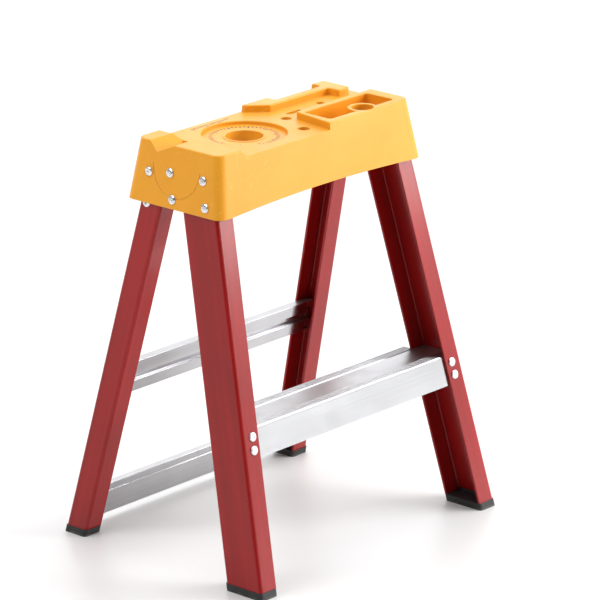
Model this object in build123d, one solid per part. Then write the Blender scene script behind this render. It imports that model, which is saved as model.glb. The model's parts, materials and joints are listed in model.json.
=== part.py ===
from build123d import *
import math
import os

# Step ladder: a moulded top cap, two front rails with a tread between them, and a rear
# frame that folds on two hinge rivets through the cap's end walls.
# X runs across the ladder, -Y is the climbing side, Z is up, millimetres.
# The origin is on the floor at the centre of the four feet.

# ---------------------------------------------------------------- overall
total_height = 590.0
cap_height = 85.0        # lower edge of the cap to its highest faces
cap_length = 410.0       # across, at the lower edge
cap_depth = 178.0        # front to back, at the lower edge
cap_draft = 0.15         # inward run of the walls per unit of height
front_lean = 0.229       # forward run of the front rails per unit of drop
rear_lean = 0.255        # backward run of the rear rails per unit of drop
front_flare = 0.09       # sideways run of the front rails per unit of drop
rear_flare = 0.07        # sideways run of the rear rails per unit of drop
clearance = 0.3          # between faces that move past each other
hinge_clearance = 0.06   # radial, between a hinge rivet and what turns on it

# ---------------------------------------------------------------- rails
rail_wall = 3.7
rail_corner = 5.0        # outer corner radius of a channel
rail_bend = 2.0          # inner corner radius of a channel
rail_tip_round = 0.9     # along the edges of the flanges
front_rail_depth = 65.0
front_flange = 31.0
rear_rail_depth = 39.0
rear_flange = 30.0
front_setback = 13.5     # cap's front lower edge to the front rails
rear_setback = 18.5      # cap's rear lower edge to the rear rails
front_rail_cover = 55.0  # length of front rail inside the cap
rear_rail_cover = 51.0   # length of rear rail inside the cap

# ---------------------------------------------------------------- shoes
shoe_height = 10.0
shoe_lip = 1.0
shoe_tongue = 4.0        # height of the tongue inside the rail
shoe_tongue_wall = 4.0

# ---------------------------------------------------------------- cap
end_wall = 5.7           # end wall at the lower edge
side_wall = 4.0          # front and rear walls
deck_drop = 10.0         # raised faces down to the deck
deck_wall = 4.0
cap_corner = 14.0        # upright corners
cap_edge_round = 2.0     # top edges
block_corner = 4.0       # upright corners of the tray and the fence
hole_round = 0.8         # rims of the tool holes
rim_round = 1.2          # rims of the pocket, the cup and the recess
arch_rise = 6.0          # rise of the lower edge at mid length
arch_inset = 20.0        # plain lower edge at each end
platform_length = 42.0   # raised left end
recess_radius = 59.0
recess_depth = 5.0
recess_end_gap = 132.75  # left end of the top to its centre
recess_y = 2.5           # from the cap's centre
port_radius = 26.4       # round opening in the middle of the recess
port_collar = 3.2
port_collar_drop = 22.0
port_lip = 3.0
port_lip_height = 0.8
tray_length = 165.25     # tool tray in the right front corner
tray_left_slant = 11.0
tray_depth = 73.0        # front to back
tray_rim_left = 15.0
tray_rim_right = 20.0
tray_rim_front = 12.0
tray_rim_rear = 10.0
pocket_depth = 24.0
pocket_round = 5.0
pocket_wall = 3.5
cup_end_gap = 77.25      # right end of the top to its centre
cup_radius = 15.5
cup_wall = 5.5
cup_rim_front = 3.5
cup_depth = 42.0
fence_length = 167.0
fence_cut = 25.0         # diagonal cut of its left end
fence_end_gap = 10.25    # right end of the top to the fence
fence_reach = 30.0       # rear top edge to the front face of the fence
fence_wall = 14.0
fence_block = 24.0       # length of the block at its right end
fence_block_reach = 20.0
disc_radius = 43.0       # disc marked out on each end wall
disc_drop = 28.0         # top of the cap to its centre
disc_y = -2.0            # from the cap's centre
disc_line = 1.2
disc_line_depth = 0.45
notch_depth = 14.0       # V notch across the left end
notch_front = 6.0        # from the cap's centre to its front lip
notch_bottom = 37.0
notch_rear = 51.0
rib_wall = 3.0
rib_depth = 12.0
rib_gaps = (78.5, 77.5)  # centre of the recess to each cross rib

# two tool holes beside the recess: x from the recess, y from the cap's centre, radius
recess_holes = ((89.5, 7.5, 7.3), (68.5, -45.0, 8.5))
# one tool hole by the cup: x before the right end of the top, y, radius
end_hole = (73.25, 25.0, 6.3)
slot_before_hole = 58.0  # centre of the slot to the hole by the cup
slot_y = 21.0
slot_length = 29.0
slot_width = 9.0

# ---------------------------------------------------------------- cap brackets and hinge
bracket_wall = 1.5
bracket_margin = 8.0
bracket_lift = 3.0       # above the cap's lower edge
web_offset = 4.0         # front webs to rear webs, at the cap's lower edge
hinge_drop = 42.0        # top of the cap to the hinge line
hinge_inset = 11.0       # rear face of the rail to the hinge line
hinge_plate_wall = 2.0
hinge_plate_length = 64.0
plate_rivet_lift = 9.0   # lower end of the plate to its rivet
plate_rivet_inset = 13.0 # rear face of the rail to that rivet
washer_radius = 8.0
boss_radius = 7.8        # flat seat of the hinge rivet's head on the end wall
stop_rib_length = 38.0   # ribs that the open rear rails rest against

# ---------------------------------------------------------------- rivets
shank_radius = 3.2
head_radius = 6.5
head_height = 2.5
head_edge = 0.9
dimple_radius = 2.1
dimple_depth = 1.3
tail_radius = 5.2
tail_height = 1.8
cap_rivet_inset = 13.0   # front edge of the rail to the front row
cap_rivet_gap = 9.0      # rear edge of the rail to the rear row
cap_rivet_drops = (37.0, 72.0)

# ---------------------------------------------------------------- tread
tread_drop = 367.0       # top of the ladder to the tread
tread_wall = 2.6
extrusion_round = 0.4    # long edges of the tread and the bars
tread_skirt = 41.0
tread_rear_skirt = 26.0
tread_nose = 11.0        # lip behind the rear flanges
tread_nose_drop = 5.0
tread_rib_count = 6
tread_rib_pitch = 2.7
tread_rib_width = 1.4
tread_rib_height = 0.8
tread_rib_margin = 1.5
tread_rivet_drops = (9.0, 27.0)
tread_rivet_inset = 12.0

# ---------------------------------------------------------------- rear bars
upper_bar_top = 252.0
upper_bar_height = 47.0
upper_bar_depth = 15.0
upper_bar_band = 17.0
upper_bar_groove = 6.0
lower_bar_bottom = 13.0
lower_bar_height = 48.0
lower_bar_depth = 11.0
lower_bar_line = 11.0    # top of the bar to the line across its face
lower_bar_line_depth = 1.2
bar_wall = 2.2
bar_end_gap = 7.0        # clear of the shoe's tongue
bar_rivet_inset = 15.0   # web face to the rivet row
bar_rivet_span = 0.62    # rivet spacing as a share of the bar's height

# ---------------------------------------------------------------- derived places
cap_edge = total_height - cap_height
deck = total_height - deck_drop
cavity_top = deck - deck_wall
cap_y = (rear_setback - front_setback - (rear_lean - front_lean) * cap_edge) / 2
front_web_at_cap = cap_length / 2 - end_wall - bracket_wall
rear_web_at_cap = front_web_at_cap - web_offset
front_rail_top = cap_edge + front_rail_cover
rear_rail_top = cap_edge + rear_rail_cover
hinge_z = total_height - hinge_drop
tread_top = total_height - tread_drop


def cap_half_length(z):
    return cap_length / 2 - cap_draft * (z - cap_edge)


def cap_half_depth(z):
    return cap_depth / 2 - cap_draft * (z - cap_edge)


def front_face(z):
    return cap_y - cap_depth / 2 + front_setback - front_lean * (cap_edge - z)


def rear_face(z):
    return cap_y + cap_depth / 2 - rear_setback + rear_lean * (cap_edge - z)


def front_web(z):
    return front_web_at_cap + front_flare * (cap_edge - z)


def rear_web(z):
    return rear_web_at_cap + rear_flare * (cap_edge - z)


hinge_y = rear_face(hinge_z) - hinge_inset


top_end = cap_half_length(total_height)
recess_x = recess_end_gap - top_end
cup_x = top_end - cup_end_gap
fence_right = top_end - fence_end_gap
fence_left = fence_right - fence_length
tray_left = top_end - tray_length
rib_places = (recess_x - rib_gaps[0], recess_x + rib_gaps[1])
tool_holes = [(recess_x + x, y, radius) for x, y, radius in recess_holes]
tool_holes.append((top_end - end_hole[0], end_hole[1], end_hole[2]))
slot_x = tool_holes[-1][0] - slot_before_hole


# ---------------------------------------------------------------- building blocks
def prism(section, rise, run_x, run_y):
    """Carry a horizontal section up by rise, moving it sideways as it climbs."""
    return Solid.extrude(section.faces()[0], Vector(run_x * rise, run_y * rise, rise))


def box(x0, x1, y0, y1, z0, z1):
    centre = Pos((x0 + x1) / 2, (y0 + y1) / 2, (z0 + z1) / 2)
    return centre * Box(x1 - x0, y1 - y0, z1 - z0)


def upright(x, y, radius, z0, z1):
    return Pos(x, y, (z0 + z1) / 2) * Cylinder(radius, z1 - z0)


def rod_x(y, z, radius, x0, x1):
    return Pos((x0 + x1) / 2, y, z) * Rot(0, 90, 0) * Cylinder(radius, abs(x1 - x0))


def outline_prism(points, z0, z1):
    """Vertical prism over a closed outline of x, y points."""
    face = make_face(Polyline(*[(x, y, z0) for x, y in points], close=True))
    return extrude(face, amount=z1 - z0, dir=(0, 0, 1))


def soft_prism(points, z0, z1, corner):
    """Vertical prism whose upright corners are rounded where they stand on the deck."""
    block = outline_prism(points, z0, z1)
    reach = cap_half_depth(total_height) - 2 * corner
    uprights = [
        e for e in block.edges()
        if abs(e.tangent_at(0.5).Z) > 0.9 and abs(e.center().Y - cap_y) < reach
        and abs(e.center().X) < cap_half_length(total_height) - 2 * corner
    ]
    return fillet(uprights, corner)


def profile_bar(points, x0, x1, edge_round=0.0):
    """Bar along X with a closed profile of y, z points and softened long edges."""
    face = make_face(Polyline(*[(x0, y, z) for y, z in points], close=True))
    if edge_round:
        face = fillet(face.vertices(), edge_round)
    return extrude(face, amount=x1 - x0, dir=(1, 0, 0))


def channel(web, y0, y1, flange, z0, z1, flare, lean):
    """Right-hand rail: a C section, open towards the middle of the ladder."""
    middle = (y0 + y1) / 2
    outer = Pos(web - flange / 2, middle, z0) * Rectangle(flange, y1 - y0)
    outer = fillet(outer.vertices().group_by(Axis.X)[-1], rail_corner)
    hollow = Rectangle(flange, y1 - y0 - 2 * rail_wall)
    hollow = Pos(web - rail_wall - flange / 2, middle, z0) * hollow
    hollow = fillet(hollow.vertices().group_by(Axis.X)[-1], rail_bend)
    section = outer - hollow
    section = fillet(section.vertices().group_by(Axis.X)[0], rail_tip_round)
    return prism(section, z1 - z0, -flare, lean)


def rivet(grip):
    """Domed head with a dimple on +Z, shank through grip, flat tail below."""
    dome = ThreePointArc(
        (head_radius, 0, head_edge),
        (head_radius * 0.72, 0, head_edge + (head_height - head_edge) * 0.62),
        (dimple_radius, 0, head_height),
    )
    rest = Polyline(
        (dimple_radius, 0, head_height),
        (dimple_radius * 0.6, 0, head_height - dimple_depth),
        (0, 0, head_height - dimple_depth),
        (0, 0, -grip - tail_height),
        (tail_radius - 0.5, 0, -grip - tail_height),
        (tail_radius, 0, -grip - tail_height + 0.5),
        (tail_radius, 0, -grip),
        (shank_radius, 0, -grip),
        (shank_radius, 0, 0),
        (head_radius, 0, 0),
        (head_radius, 0, head_edge),
    )
    return revolve(make_face(dome + rest), axis=Axis.Z)


def rivet_at(point, outward, grip):
    seat = Plane(origin=point, x_dir=(0, 1, 0), z_dir=outward)
    if abs(outward[1]) > 0.9:
        seat = Plane(origin=point, x_dir=(1, 0, 0), z_dir=outward)
    return seat * rivet(grip)


def mirrored(shape):
    return mirror(shape, about=Plane.YZ)


def group(solids):
    return Compound(children=[s for shape in solids for s in shape.solids()])


def unit(x, y, z):
    size = math.sqrt(x * x + y * y + z * z)
    return (x / size, y / size, z / size)


parts = {}


def add_pair(name, shape):
    """Store a right-hand piece and its mirror image."""
    parts[name + "_right"] = shape
    parts[name + "_left"] = mirrored(shape)


# ---------------------------------------------------------------- rivets through the cap's ends
def end_wall_rivet(y, z):
    """A rivet square to the cap's right end wall, through the bracket and the front web."""
    normal = unit(1, 0, cap_draft)
    inner = front_web(z) - rail_wall
    grip = (cap_half_length(z) - inner) * normal[0]
    return rivet_at((cap_half_length(z), y, z), normal, grip)


def bracket_rivet(y, z):
    """A rivet through the cap's end wall and the bracket alone."""
    normal = unit(1, 0, cap_draft)
    grip = (cap_half_length(z) - front_web(z)) * normal[0]
    return rivet_at((cap_half_length(z), y, z), normal, grip)


cap_rivets = []
for drop in cap_rivet_drops:
    z = total_height - drop
    cap_rivets.append(end_wall_rivet(front_face(z) + cap_rivet_inset, z))
    cap_rivets.append(bracket_rivet(front_face(z) + front_rail_depth + cap_rivet_gap, z))

# ---------------------------------------------------------------- hinge
washer_swing = rear_flare * washer_radius
washer_inner = rear_web(hinge_z) + washer_swing + clearance
tail_outer = rear_web(hinge_z) - rail_wall - hinge_plate_wall - washer_swing - clearance
hinge_seat = cap_half_length(hinge_z)
hinge_rivet = rivet_at((hinge_seat, hinge_y, hinge_z), (1, 0, 0), hinge_seat - tail_outer)
boss_root = front_web(hinge_z - boss_radius) + bracket_wall + clearance
hinge_boss = rod_x(hinge_y, hinge_z, boss_radius, boss_root, hinge_seat)
hinge_spot = rod_x(hinge_y, hinge_z, boss_radius, hinge_seat, hinge_seat + cap_height)
hinge_bore = rod_x(
    hinge_y, hinge_z, shank_radius + hinge_clearance, washer_inner - 20, washer_inner + 0.1
)

# ---------------------------------------------------------------- brackets
bracket_z0 = cap_edge + bracket_lift
bracket_front = front_face(cap_edge) + bracket_margin
bracket_rear = hinge_y + washer_radius + 4
bracket_section = Pos(
    front_web(bracket_z0) + bracket_wall / 2, (bracket_front + bracket_rear) / 2, bracket_z0
) * Rectangle(bracket_wall, bracket_rear - bracket_front)
bracket = prism(bracket_section, front_rail_top - bracket_z0, -front_flare, 0)
bracket = bracket - cap_rivets - hinge_rivet

# The washer is tapered: its outer face lies on the bracket, its inner face is square to X.
washer = rod_x(hinge_y, hinge_z, washer_radius, washer_inner, hinge_seat)
washer = washer - prism(
    Pos(front_web(cap_edge) + 50, hinge_y, cap_edge) * Rectangle(100, 60),
    cap_height, -front_flare, 0,
)
washer = washer - hinge_rivet

# ---------------------------------------------------------------- rails
front_rail = channel(
    front_web(shoe_height), front_face(shoe_height), front_face(shoe_height) + front_rail_depth,
    front_flange, shoe_height, front_rail_top, front_flare, front_lean,
)
rear_rail = channel(
    rear_web(shoe_height), rear_face(shoe_height) - rear_rail_depth, rear_face(shoe_height),
    rear_flange, shoe_height, rear_rail_top, rear_flare, -rear_lean,
)

# ---------------------------------------------------------------- top cap
def cap_body():
    """Outer form: a drafted block with rounded upright corners and rounded top edges."""
    end_points = [
        (-cap_half_length(cap_edge), cap_edge), (cap_half_length(cap_edge), cap_edge),
        (cap_half_length(total_height), total_height),
        (-cap_half_length(total_height), total_height),
    ]
    side_points = [
        (cap_y - cap_half_depth(cap_edge), cap_edge),
        (cap_y + cap_half_depth(cap_edge), cap_edge),
        (cap_y + cap_half_depth(total_height), total_height),
        (cap_y - cap_half_depth(total_height), total_height),
    ]
    reach = cap_length
    face = make_face(Polyline(*[(x, -reach, z) for x, z in end_points], close=True))
    along = extrude(face, amount=2 * reach, dir=(0, 1, 0))
    body = along & profile_bar(side_points, -reach, reach)
    corners = [e for e in body.edges() if abs(e.center().Z - (cap_edge + cap_height / 2)) < 1]
    return fillet(corners, cap_corner)


def tray_outline():
    rear = cap_y - cap_half_depth(total_height) + tray_depth
    return [
        (tray_left, cap_y - cap_depth), (cap_length, cap_y - cap_depth),
        (cap_length, rear), (tray_left + tray_left_slant, rear),
        (tray_left, cap_y - cap_half_depth(total_height)),
    ]


def fence_outline():
    rear = cap_y + cap_half_depth(total_height)
    front = rear - fence_reach
    back = front + fence_wall
    block = fence_right - fence_block
    return [
        (fence_left, rear + 20), (fence_left, front + fence_cut),
        (fence_left + fence_cut, front), (block, front),
        (block, front - fence_block_reach), (fence_right, front - fence_block_reach),
        (fence_right, rear + 20), (block, rear + 20), (block, back),
        (fence_left + 2 * fence_cut, back), (fence_left + 2 * fence_cut, rear + 20),
    ]


over = total_height + 30
above_deck = box(-cap_length, cap_length, -cap_length, cap_length, deck, over)
platform_end = -cap_half_length(total_height) + platform_length
platform_face = make_face(Polyline(
    (-cap_length, -cap_length, deck), (platform_end + deck_drop, -cap_length, deck),
    (platform_end, -cap_length, total_height), (platform_end, -cap_length, over),
    (-cap_length, -cap_length, over), close=True,
))
platform = extrude(platform_face, amount=2 * cap_length, dir=(0, 1, 0))
deck_cut = above_deck - platform
deck_cut = deck_cut - soft_prism(tray_outline(), deck, over, block_corner)
deck_cut = deck_cut - soft_prism(fence_outline(), deck, over, block_corner)

cap = cap_body() - deck_cut

# V notch across the raised left end
notch_points = [
    (cap_y + notch_front, total_height), (cap_y + notch_bottom, total_height - notch_depth),
    (cap_y + notch_rear, total_height), (cap_y + notch_rear, over), (cap_y + notch_front, over),
]
cap = cap - profile_bar(notch_points, -cap_length, platform_end + deck_drop)
top_edges = [
    e for e in cap.edges()
    if all(abs(v.Z - total_height) < 0.01 for v in e.vertices())
]
cap = fillet(top_edges, cap_edge_round)

# hollow underside
cavity_low = cap_edge - 10
cavity_half = front_web(cavity_low) + bracket_wall
side_low = cap_half_depth(cavity_low) - side_wall
cavity_ends = make_face(Polyline(
    (-cavity_half, -cap_length, cavity_low), (cavity_half, -cap_length, cavity_low),
    (front_web(cavity_top) + bracket_wall, -cap_length, cavity_top),
    (-front_web(cavity_top) - bracket_wall, -cap_length, cavity_top), close=True,
))
side_high = cap_half_depth(cavity_top) - side_wall
cavity = extrude(cavity_ends, amount=2 * cap_length, dir=(0, 1, 0)) & profile_bar([
    (cap_y - side_low, cavity_low), (cap_y + side_low, cavity_low),
    (cap_y + side_high, cavity_top), (cap_y - side_high, cavity_top),
], -cap_length, cap_length)
cavity_corners = [e for e in cavity.edges() if abs(e.tangent_at(0.5).Z) > 0.9]
cavity = fillet(cavity_corners, cap_corner - side_wall)

# material that stays inside the hollow
tray_rear = cap_y - cap_half_depth(total_height) + tray_depth
pocket_x0 = tray_left + tray_rim_left
pocket_x1 = cap_half_length(total_height) - tray_rim_right
pocket_y0 = cap_y - cap_half_depth(total_height) + tray_rim_front
pocket_y1 = tray_rear - tray_rim_rear
pocket_floor = total_height - pocket_depth
cup_y = cap_y - cap_half_depth(total_height) + cup_rim_front + cup_radius
cup_floor = total_height - cup_depth
recess_cy = cap_y + recess_y
recess_floor = deck - recess_depth
inner = [
    upright(recess_x, recess_cy, recess_radius + side_wall, recess_floor - deck_wall, deck),
    upright(recess_x, recess_cy, port_radius + port_collar,
            recess_floor - port_collar_drop, deck),
    box(pocket_x0 - pocket_wall, pocket_x1 + pocket_wall, pocket_y0 - pocket_wall,
        pocket_y1 + pocket_wall, pocket_floor - pocket_wall, deck),
    upright(cup_x, cup_y, cup_radius + pocket_wall, cup_floor - pocket_wall, deck),
]
for x in rib_places:
    inner.append(box(x, x + rib_wall, -cap_depth, cap_depth, cavity_top - rib_depth, deck))
cavity = cavity - inner

# ribs that stop the rear rails in the open position
stop_z0 = hinge_z - stop_rib_length
for side in (-1, 1):
    for inset in (rail_corner + 1, rear_flange - rib_wall - 3):
        x = side * (rear_web(hinge_z) - inset - rib_wall / 2)
        seat = rear_face(stop_z0) + clearance
        section = Pos(x, seat + cap_depth / 2, stop_z0) * Rectangle(rib_wall, cap_depth)
        cavity = cavity - prism(section, stop_rib_length, 0, -rear_lean)

cap = cap - cavity

# tray pocket with the cup standing in its front
pocket_plan = Pos((pocket_x0 + pocket_x1) / 2, (pocket_y0 + pocket_y1) / 2, pocket_floor)
pocket = Rectangle(pocket_x1 - pocket_x0, pocket_y1 - pocket_y0)
pocket = extrude(pocket_plan * fillet(pocket.vertices(), pocket_round), amount=over - pocket_floor)
pocket = pocket - upright(cup_x, cup_y, cup_radius + cup_wall, pocket_floor, over)
cap = cap - pocket - upright(cup_x, cup_y, cup_radius, cup_floor, over)

# round recess with its port and lip
cap = cap - upright(recess_x, recess_cy, recess_radius, recess_floor, over)
cap = cap + upright(
    recess_x, recess_cy, port_radius + port_lip, recess_floor, recess_floor + port_lip_height
)
cap = cap - upright(recess_x, recess_cy, port_radius, cap_edge, over)

# rims of what is sunk into the cap
def rim_edges(solid, z, x0, x1, y0, y1):
    """Edges at one height whose ends and middle lie inside the given window."""
    found = []
    for e in solid.edges():
        spots = [e.position_at(t) for t in (0, 0.5, 1)]
        if all(abs(s.Z - z) < 0.01 and x0 < s.X < x1 and y0 < s.Y < y1 for s in spots):
            found.append(e)
    return found


rim_front = cap_y - cap_half_depth(total_height) + cap_edge_round
cap = fillet(rim_edges(
    cap, total_height, pocket_x0 - rim_round, pocket_x1 + rim_round, rim_front,
    pocket_y1 + rim_round), rim_round)
recess_rim = rim_edges(
    cap, deck, recess_x - recess_radius - rim_round, recess_x + recess_radius + rim_round,
    -cap_depth, cap_depth)
cap = fillet([e for e in recess_rim if e.geom_type == GeomType.CIRCLE], rim_round)

# tool holes and the slot
for x, y, radius in tool_holes:
    cap = cap - upright(x, cap_y + y, radius, cavity_top - rib_depth - 1, over)
slot = Pos(slot_x, cap_y + slot_y, cavity_top - 1) * SlotOverall(slot_length, slot_width)
cap = cap - extrude(slot, amount=deck_wall + 2)

hole_rims = []
for x, y, radius in tool_holes:
    reach = radius + hole_round
    for e in rim_edges(cap, deck, x - reach, x + reach, cap_y + y - reach, cap_y + y + reach):
        if e.geom_type == GeomType.CIRCLE:
            hole_rims.append(e)
cap = fillet(hole_rims, hole_round)

# line round the lower half of a disc on each end wall
disc_z = total_height - disc_drop
for side in (-1, 1):
    centre = Plane(
        origin=(side * cap_half_length(disc_z), cap_y + disc_y, disc_z),
        x_dir=(0, 1, 0), z_dir=unit(side, 0, cap_draft),
    )
    line = Cylinder(disc_radius + disc_line / 2, 2 * disc_line_depth)
    line = line - Cylinder(disc_radius - disc_line / 2, 2 * disc_line_depth)
    lower_half = box(-cap_length, cap_length, -cap_depth, cap_depth, cap_edge, disc_z)
    cap = cap - ((centre * line) & lower_half)

# shallow arch along the front and rear lower edges
arch_half = cap_length / 2 - arch_inset
arch_radius = (arch_half ** 2 + arch_rise ** 2) / (2 * arch_rise)
arch = Pos(0, cap_y, cap_edge + arch_rise - arch_radius) * Rot(90, 0, 0)
cap = cap - arch * Cylinder(arch_radius, cap_depth + 20)

# hinge bosses and every rivet hole
for boss, spot in ((hinge_boss, hinge_spot), (mirrored(hinge_boss), mirrored(hinge_spot))):
    cap = cap + boss - spot
left_rivets = [mirrored(r) for r in cap_rivets]
cap = cap - cap_rivets - left_rivets - hinge_rivet - mirrored(hinge_rivet)
cap = cap - bracket - mirrored(bracket)
parts["top_cap"] = cap

add_pair("cap_bracket", bracket)
add_pair("cap_rivets", group(cap_rivets))
add_pair("hinge_rivet", hinge_rivet)
add_pair("hinge_washer", washer)

# ---------------------------------------------------------------- tread
def tread_front(z):
    return front_face(z) + rail_wall


def tread_rear(z):
    return front_face(z) + front_rail_depth - rail_wall


skirt_z = tread_top - tread_skirt
rear_skirt_z = tread_top - tread_rear_skirt
under = tread_top - tread_wall
nose_y = tread_rear(tread_top) + rail_wall + tread_nose
tread_span = 2 * front_web(skirt_z)
tread = profile_bar([
    (tread_front(skirt_z), skirt_z), (tread_front(tread_top), tread_top),
    (tread_rear(tread_top), tread_top), (tread_rear(rear_skirt_z), rear_skirt_z),
    (tread_rear(rear_skirt_z) - tread_wall, rear_skirt_z),
    (tread_rear(under) - tread_wall, under), (tread_front(under) + tread_wall, under),
    (tread_front(skirt_z + tread_wall) + tread_wall, skirt_z + tread_wall),
    (tread_front(skirt_z + tread_wall) + 3 * tread_wall, skirt_z + tread_wall),
    (tread_front(skirt_z) + 3 * tread_wall, skirt_z),
], -tread_span / 2, tread_span / 2, extrusion_round)
# ends follow the flare of the webs
for side in (-1, 1):
    z0 = skirt_z - 5
    rise = tread_skirt + 10
    x0 = front_web(z0) - rail_wall - (rail_bend + clearance)
    section = Pos(side * (x0 + 50), front_face(z0), z0) * Rectangle(100, 300)
    tread = tread - prism(section, rise, -side * front_flare, 0)
# rear nose passes between the rear flanges
nose_half = front_web(tread_top) - front_flange - 3 * clearance - front_flare * tread_nose_drop
nose = profile_bar([
    (tread_rear(tread_top) - 1, tread_top), (nose_y, tread_top),
    (nose_y, tread_top - tread_nose_drop), (nose_y - tread_wall, tread_top - tread_nose_drop),
    (nose_y - tread_wall, under), (tread_rear(tread_top) - 1, under),
], -nose_half, nose_half)
tread = tread + nose
# two bands of fine ribs
rib_half = front_web(tread_top) - rail_wall - (rail_bend + clearance) - 1
for i in range(tread_rib_count):
    step_in = tread_rib_margin + i * tread_rib_pitch
    y = tread_front(tread_top) + step_in
    tread = tread + box(-rib_half, rib_half, y, y + tread_rib_width,
                        tread_top, tread_top + tread_rib_height)
    y = nose_y - step_in - tread_rib_width
    tread = tread + box(-nose_half, nose_half, y, y + tread_rib_width,
                        tread_top, tread_top + tread_rib_height)

tread_front_rivets = []
tread_rear_rivets = []
for drop in tread_rivet_drops:
    z = tread_top - drop
    x = front_web(z) - front_flange + tread_rivet_inset
    out = unit(0, -1, front_lean)
    grip = (rail_wall + tread_wall) * -out[1]
    tread_front_rivets.append(rivet_at((x, front_face(z), z), out, grip))
z = tread_top - (tread_rear_skirt + tread_wall) / 2
x = front_web(z) - front_flange + tread_rivet_inset
back = unit(0, 1, -front_lean)
grip = (rail_wall + tread_wall) * back[1]
tread_rear_rivets.append(rivet_at((x, front_face(z) + front_rail_depth, z), back, grip))
tread_rivets = tread_front_rivets + tread_rear_rivets
tread = tread - tread_rivets - [mirrored(r) for r in tread_rivets]
parts["tread"] = tread
add_pair("tread_front_rivets", group(tread_front_rivets))
add_pair("tread_rear_rivet", group(tread_rear_rivets))
add_pair("front_rail", front_rail - cap_rivets - tread_rivets)

# ---------------------------------------------------------------- hinge plates inside the rear rails
plate_z0 = rear_rail_top - hinge_plate_length
plate_inner_y1 = rear_face(plate_z0) - rail_wall - rail_bend - clearance
plate_inner_y0 = rear_face(plate_z0) - rear_rail_depth + rail_wall + rail_bend + clearance
plate_section = Pos(
    rear_web(plate_z0) - rail_wall - hinge_plate_wall / 2,
    (plate_inner_y0 + plate_inner_y1) / 2, plate_z0,
) * Rectangle(hinge_plate_wall, plate_inner_y1 - plate_inner_y0)
plate = prism(plate_section, hinge_plate_length, -rear_flare, -rear_lean)
plate_rivet_z = plate_z0 + plate_rivet_lift
plate_rivet = rivet_at(
    (rear_web(plate_rivet_z), rear_face(plate_rivet_z) - plate_rivet_inset, plate_rivet_z),
    unit(1, 0, rear_flare),
    (rail_wall + hinge_plate_wall) * unit(1, 0, rear_flare)[0],
)
add_pair("hinge_plate", plate - plate_rivet - hinge_bore)
add_pair("hinge_plate_rivet", plate_rivet)

# ---------------------------------------------------------------- rear bars
def bar_back(z):
    """The inner face of the rear flanges, which the bars lie against."""
    return rear_face(z) - rail_wall


def leaning_bar(profile, chambers, z_low, height):
    """A hollow bar from web to web. Profiles are in forward reach and height."""
    half = rear_web(z_low) - rail_wall

    def follow(points, edge_round=0.0):
        leaning = [(bar_back(z_low + up) - reach, z_low + up) for reach, up in points]
        return profile_bar(leaning, -half, half, edge_round)

    bar = follow(profile, extrusion_round)
    for reach, low, high in chambers:
        bar = bar - follow([(bar_wall, low), (reach, low), (reach, high), (bar_wall, high)])
    for side in (-1, 1):
        x0 = rear_web(z_low - 5) - rail_wall - bar_end_gap
        section = Pos(side * (x0 + 50), bar_back(z_low), z_low - 5) * Rectangle(100, 200)
        bar = bar - prism(section, height + 10, -side * rear_flare, 0)
    return bar


def bar_rivets(z_low, height, thick):
    """Two rivets at the right end, through the rear flange and the bar's back."""
    out = unit(0, 1, rear_lean)
    rivets = []
    for share in (0.5 - bar_rivet_span / 2, 0.5 + bar_rivet_span / 2):
        z = z_low + height * share
        x = rear_web(z) - rail_wall - bar_rivet_inset
        rivets.append(rivet_at((x, rear_face(z), z), out, (rail_wall + thick) * out[1]))
    return rivets


band = upper_bar_band
face = upper_bar_depth
sunk = upper_bar_depth - upper_bar_groove
upper_bar_low = upper_bar_top - upper_bar_height
upper_bar = leaning_bar([
    (0, 0), (face, 0), (face, band), (sunk, band),
    (sunk, upper_bar_height - band), (face, upper_bar_height - band),
    (face, upper_bar_height), (0, upper_bar_height),
], [
    (face - bar_wall, bar_wall, band - bar_wall),
    (face - bar_wall, upper_bar_height - band + bar_wall, upper_bar_height - bar_wall),
], upper_bar_low, upper_bar_height)

line_low = lower_bar_height - lower_bar_line - lower_bar_line_depth
line_high = lower_bar_height - lower_bar_line
sunk = lower_bar_depth - lower_bar_line_depth
lower_bar = leaning_bar([
    (0, 0), (lower_bar_depth, 0), (lower_bar_depth, line_low), (sunk, line_low),
    (sunk, line_high), (lower_bar_depth, line_high),
    (lower_bar_depth, lower_bar_height), (0, lower_bar_height),
], [
    (sunk - bar_wall, bar_wall, lower_bar_height - bar_wall),
], lower_bar_bottom, lower_bar_height)

upper_rivets = bar_rivets(upper_bar_low, upper_bar_height, upper_bar_depth)
lower_rivets = bar_rivets(lower_bar_bottom, lower_bar_height, lower_bar_depth)
parts["upper_rear_bar"] = upper_bar - upper_rivets - [mirrored(r) for r in upper_rivets]
parts["lower_rear_bar"] = lower_bar - lower_rivets - [mirrored(r) for r in lower_rivets]
add_pair("upper_bar_rivets", group(upper_rivets))
add_pair("lower_bar_rivets", group(lower_rivets))
add_pair("rear_rail", rear_rail - hinge_bore - plate_rivet - upper_rivets - lower_rivets)

# ---------------------------------------------------------------- shoes
def shoe(web, y0, y1, flange, flare, lean):
    """A rubber pad under a rail with a tongue that lies against the web's inner face."""
    pad = Pos(web(0) - flange / 2, (y0(0) + y1(0)) / 2, 0) * RectangleRounded(
        flange + 2 * shoe_lip, y1(0) - y0(0) + 2 * shoe_lip, rail_corner)
    pad = prism(pad, shoe_height, -flare, lean)
    depth = y1(0) - y0(0) - 2 * (rail_wall + rail_bend + clearance)
    tongue = Pos(
        web(shoe_height) - rail_wall - shoe_tongue_wall / 2,
        (y0(shoe_height) + y1(shoe_height)) / 2, shoe_height,
    ) * Rectangle(shoe_tongue_wall, depth)
    return pad + prism(tongue, shoe_tongue, -flare, lean)


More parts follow.
